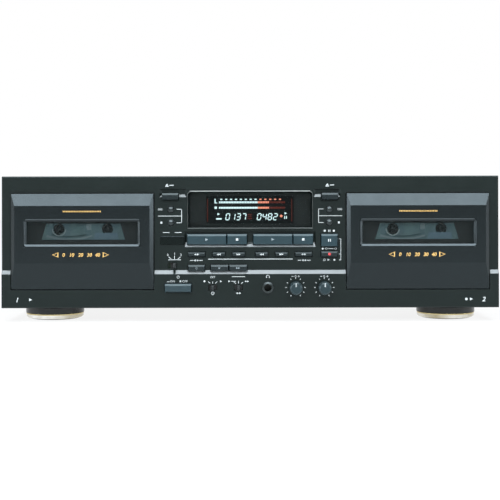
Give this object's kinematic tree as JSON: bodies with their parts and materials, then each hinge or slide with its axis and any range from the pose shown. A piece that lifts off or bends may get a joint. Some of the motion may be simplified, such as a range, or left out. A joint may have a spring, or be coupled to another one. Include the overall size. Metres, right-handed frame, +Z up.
{
  "type": "double cassette deck",
  "caption": "Hi-fi cassette deck with paired hinged tape doors, a centre display and key panel, and a folded steel case on round feet.",
  "frame": {"origin": "on the floor under the middle of the deck's box", "axes": "+X to the right along the front, +Y towards the back, +Z up"},
  "size_m": [0.434, 0.28, 0.127],
  "materials": {
    "panel_plastic": "fine moulded texture, satin black",
    "smoked_window": "smoked clear acrylic",
    "cover_paint": "fine textured black paint",
    "zinc_steel": "zinc plated sheet",
    "rear_paint": "flat black paint",
    "socket_plastic": "moulded black",
    "socket_metal": "plated, bright",
    "foot_plastic": "moulded black",
    "foot_gold": "gold coloured, polished",
    "black_screw": "blackened steel",
    "board": "green laminate",
    "transformer_iron": "varnished laminations",
    "motor_steel": "plated can",
    "belt_rubber": "plain",
    "play_key": "satin slate blue",
    "small_key": "satin slate blue",
    "button_plastic": "satin charcoal",
    "lever_plastic": "satin charcoal",
    "knob_plastic": "satin blue grey",
    "door_plastic": "smooth satin charcoal",
    "cassette_shell": "pale grey",
    "spindle_plastic": "white nylon",
    "carriage_steel": "plated",
    "flywheel_metal": "turned",
    "pulley_metal": "turned"
  },
  "bodies": {
    "chassis": {"front_panel": "panel_plastic", "display_window": "smoked_window", "top_cover": "cover_paint", "chassis_tray": "zinc_steel", "rear_panel": "rear_paint", "rear_sockets": "socket_plastic", "socket_sleeves": "socket_metal", "feet": "foot_plastic", "foot_rings": "foot_gold", "case_screws": "black_screw", "circuit_boards": "board", "transformer": "transformer_iron", "mechanism_plates": "zinc_steel", "capstan_motors": "motor_steel", "drive_belts": "belt_rubber"},
    "play_key_a": {"play_key_a": "play_key"},
    "stop_key_a": {"stop_key_a": "play_key"},
    "play_key_b": {"play_key_b": "play_key"},
    "stop_key_b": {"stop_key_b": "play_key"},
    "direction_key_a": {"direction_key_a": "small_key"},
    "rewind_key_a": {"rewind_key_a": "small_key"},
    "forward_key_a": {"forward_key_a": "small_key"},
    "rewind_key_b": {"rewind_key_b": "small_key"},
    "forward_key_b": {"forward_key_b": "small_key"},
    "direction_key_b": {"direction_key_b": "small_key"},
    "tape_select_key": {"tape_select_key": "small_key"},
    "dub_normal_key": {"dub_normal_key": "small_key"},
    "dub_high_key": {"dub_high_key": "small_key"},
    "record_pause_key": {"record_pause_key": "play_key"},
    "record_mute_key": {"record_mute_key": "small_key"},
    "counter_reset_a": {"counter_reset_a": "button_plastic"},
    "counter_memory_a": {"counter_memory_a": "button_plastic"},
    "counter_reset_b": {"counter_reset_b": "button_plastic"},
    "counter_memory_b": {"counter_memory_b": "button_plastic"},
    "eject_button_a": {"eject_button_a": "button_plastic"},
    "eject_button_b": {"eject_button_b": "button_plastic"},
    "power_button": {"power_button": "button_plastic"},
    "noise_switch": {"noise_switch": "lever_plastic"},
    "timer_switch": {"timer_switch": "lever_plastic"},
    "reverse_switch": {"reverse_switch": "lever_plastic"},
    "bias_knob": {"bias_knob": "knob_plastic"},
    "level_knob": {"level_knob": "knob_plastic"},
    "door_a": {"door_a": "door_plastic", "door_window_a": "smoked_window", "cassette_a": "cassette_shell"},
    "head_carriage_a": {"head_carriage_a": "carriage_steel"},
    "spindle_left_a": {"spindle_left_a": "spindle_plastic"},
    "flywheel_left_a": {"flywheel_left_a": "flywheel_metal"},
    "spindle_right_a": {"spindle_right_a": "spindle_plastic"},
    "flywheel_right_a": {"flywheel_right_a": "flywheel_metal"},
    "motor_pulley_a": {"motor_pulley_a": "pulley_metal"},
    "door_b": {"door_b": "door_plastic", "door_window_b": "smoked_window", "cassette_b": "cassette_shell"},
    "head_carriage_b": {"head_carriage_b": "carriage_steel"},
    "spindle_left_b": {"spindle_left_b": "spindle_plastic"},
    "flywheel_left_b": {"flywheel_left_b": "flywheel_metal"},
    "spindle_right_b": {"spindle_right_b": "spindle_plastic"},
    "flywheel_right_b": {"flywheel_right_b": "flywheel_metal"},
    "motor_pulley_b": {"motor_pulley_b": "pulley_metal"}
  },
  "joints": [
    {"name": "play_key_a_press", "type": "slide", "parent": "chassis", "child": "play_key_a", "axis": [0, 1, 0], "range_m": [0, 0.0012], "stiffness_N_per_m": 300},
    {"name": "stop_key_a_press", "type": "slide", "parent": "chassis", "child": "stop_key_a", "axis": [0, 1, 0], "range_m": [0, 0.0012], "stiffness_N_per_m": 300},
    {"name": "play_key_b_press", "type": "slide", "parent": "chassis", "child": "play_key_b", "axis": [0, 1, 0], "range_m": [0, 0.0012], "stiffness_N_per_m": 300},
    {"name": "stop_key_b_press", "type": "slide", "parent": "chassis", "child": "stop_key_b", "axis": [0, 1, 0], "range_m": [0, 0.0012], "stiffness_N_per_m": 300},
    {"name": "direction_key_a_press", "type": "slide", "parent": "chassis", "child": "direction_key_a", "axis": [0, 1, 0], "range_m": [0, 0.0012], "stiffness_N_per_m": 300},
    {"name": "rewind_key_a_press", "type": "slide", "parent": "chassis", "child": "rewind_key_a", "axis": [0, 1, 0], "range_m": [0, 0.0012], "stiffness_N_per_m": 300},
    {"name": "forward_key_a_press", "type": "slide", "parent": "chassis", "child": "forward_key_a", "axis": [0, 1, 0], "range_m": [0, 0.0012], "stiffness_N_per_m": 300},
    {"name": "rewind_key_b_press", "type": "slide", "parent": "chassis", "child": "rewind_key_b", "axis": [0, 1, 0], "range_m": [0, 0.0012], "stiffness_N_per_m": 300},
    {"name": "forward_key_b_press", "type": "slide", "parent": "chassis", "child": "forward_key_b", "axis": [0, 1, 0], "range_m": [0, 0.0012], "stiffness_N_per_m": 300},
    {"name": "direction_key_b_press", "type": "slide", "parent": "chassis", "child": "direction_key_b", "axis": [0, 1, 0], "range_m": [0, 0.0012], "stiffness_N_per_m": 300},
    {"name": "tape_select_key_press", "type": "slide", "parent": "chassis", "child": "tape_select_key", "axis": [0, 1, 0], "range_m": [0, 0.0012], "stiffness_N_per_m": 300},
    {"name": "dub_normal_key_press", "type": "slide", "parent": "chassis", "child": "dub_normal_key", "axis": [0, 1, 0], "range_m": [0, 0.0012], "stiffness_N_per_m": 300},
    {"name": "dub_high_key_press", "type": "slide", "parent": "chassis", "child": "dub_high_key", "axis": [0, 1, 0], "range_m": [0, 0.0012], "stiffness_N_per_m": 300},
    {"name": "record_pause_key_press", "type": "slide", "parent": "chassis", "child": "record_pause_key", "axis": [0, 1, 0], "range_m": [0, 0.0012], "stiffness_N_per_m": 300},
    {"name": "record_mute_key_press", "type": "slide", "parent": "chassis", "child": "record_mute_key", "axis": [0, 1, 0], "range_m": [0, 0.0012], "stiffness_N_per_m": 300},
    {"name": "counter_reset_a_press", "type": "slide", "parent": "chassis", "child": "counter_reset_a", "axis": [0, 1, 0], "range_m": [0, 0.0012], "stiffness_N_per_m": 300},
    {"name": "counter_memory_a_press", "type": "slide", "parent": "chassis", "child": "counter_memory_a", "axis": [0, 1, 0], "range_m": [0, 0.0012], "stiffness_N_per_m": 300},
    {"name": "counter_reset_b_press", "type": "slide", "parent": "chassis", "child": "counter_reset_b", "axis": [0, 1, 0], "range_m": [0, 0.0012], "stiffness_N_per_m": 300},
    {"name": "counter_memory_b_press", "type": "slide", "parent": "chassis", "child": "counter_memory_b", "axis": [0, 1, 0], "range_m": [0, 0.0012], "stiffness_N_per_m": 300},
    {"name": "eject_button_a_press", "type": "slide", "parent": "chassis", "child": "eject_button_a", "axis": [0, 1, 0], "range_m": [0, 0.003], "stiffness_N_per_m": 300},
    {"name": "eject_button_b_press", "type": "slide", "parent": "chassis", "child": "eject_button_b", "axis": [0, 1, 0], "range_m": [0, 0.003], "stiffness_N_per_m": 300},
    {"name": "power_button_press", "type": "slide", "parent": "chassis", "child": "power_button", "axis": [0, 1, 0], "range_m": [0, 0.003], "stiffness_N_per_m": 300},
    {"name": "noise_switch_slide", "type": "slide", "parent": "chassis", "child": "noise_switch", "axis": [1, 0, 0], "range_m": [-0.0042, 0]},
    {"name": "timer_switch_slide", "type": "slide", "parent": "chassis", "child": "timer_switch", "axis": [1, 0, 0], "range_m": [-0.0021, 0.0021]},
    {"name": "reverse_switch_slide", "type": "slide", "parent": "chassis", "child": "reverse_switch", "axis": [1, 0, 0], "range_m": [-0.0021, 0.0021]},
    {"name": "bias_knob_turn", "type": "hinge", "parent": "chassis", "child": "bias_knob", "pos_m": [0.0396, -0.126, 0.0297], "axis": [0, -1, 0], "range_deg": [-150, 150]},
    {"name": "level_knob_turn", "type": "hinge", "parent": "chassis", "child": "level_knob", "pos_m": [0.0646, -0.126, 0.0297], "axis": [0, -1, 0], "range_deg": [-150, 150]},
    {"name": "door_a_hinge", "type": "hinge", "parent": "chassis", "child": "door_a", "pos_m": [-0.1464, -0.1235, 0.0318], "axis": [1, 0, 0], "range_deg": [0, 25]},
    {"name": "head_carriage_a_slide", "type": "slide", "parent": "chassis", "child": "head_carriage_a", "axis": [0, 0, -1], "range_m": [-0.0068, 0]},
    {"name": "spindle_left_a_turn", "type": "hinge", "parent": "chassis", "child": "spindle_left_a", "pos_m": [-0.16765, -0.1235, 0.0806], "axis": [0, 1, 0], "continuous": true},
    {"name": "flywheel_left_a_turn", "type": "hinge", "parent": "chassis", "child": "flywheel_left_a", "pos_m": [-0.1664, -0.1235, 0.054], "axis": [0, 1, 0], "continuous": true},
    {"name": "spindle_right_a_turn", "type": "hinge", "parent": "chassis", "child": "spindle_right_a", "pos_m": [-0.12515, -0.1235, 0.0806], "axis": [0, 1, 0], "continuous": true},
    {"name": "flywheel_right_a_turn", "type": "hinge", "parent": "chassis", "child": "flywheel_right_a", "pos_m": [-0.1264, -0.1235, 0.054], "axis": [0, 1, 0], "continuous": true},
    {"name": "motor_pulley_a_turn", "type": "hinge", "parent": "chassis", "child": "motor_pulley_a", "pos_m": [-0.1664, -0.1235, 0.097], "axis": [0, 1, 0], "continuous": true},
    {"name": "door_b_hinge", "type": "hinge", "parent": "chassis", "child": "door_b", "pos_m": [0.1464, -0.1235, 0.0318], "axis": [1, 0, 0], "range_deg": [0, 25]},
    {"name": "head_carriage_b_slide", "type": "slide", "parent": "chassis", "child": "head_carriage_b", "axis": [0, 0, -1], "range_m": [-0.0068, 0]},
    {"name": "spindle_left_b_turn", "type": "hinge", "parent": "chassis", "child": "spindle_left_b", "pos_m": [0.12515, -0.1235, 0.0806], "axis": [0, 1, 0], "continuous": true},
    {"name": "flywheel_left_b_turn", "type": "hinge", "parent": "chassis", "child": "flywheel_left_b", "pos_m": [0.1264, -0.1235, 0.054], "axis": [0, 1, 0], "continuous": true},
    {"name": "spindle_right_b_turn", "type": "hinge", "parent": "chassis", "child": "spindle_right_b", "pos_m": [0.16765, -0.1235, 0.0806], "axis": [0, 1, 0], "continuous": true},
    {"name": "flywheel_right_b_turn", "type": "hinge", "parent": "chassis", "child": "flywheel_right_b", "pos_m": [0.1664, -0.1235, 0.054], "axis": [0, 1, 0], "continuous": true},
    {"name": "motor_pulley_b_turn", "type": "hinge", "parent": "chassis", "child": "motor_pulley_b", "pos_m": [0.1264, -0.1235, 0.097], "axis": [0, 1, 0], "continuous": true}
  ],
  "couplings": [
    {"joint": "flywheel_right_a_turn", "follows": "flywheel_left_a_turn", "ratio": -1},
    {"joint": "motor_pulley_a_turn", "follows": "flywheel_left_a_turn", "ratio": 4.7562},
    {"joint": "flywheel_right_b_turn", "follows": "flywheel_left_b_turn", "ratio": -1},
    {"joint": "motor_pulley_b_turn", "follows": "flywheel_left_b_turn", "ratio": 4.7562}
  ]
}
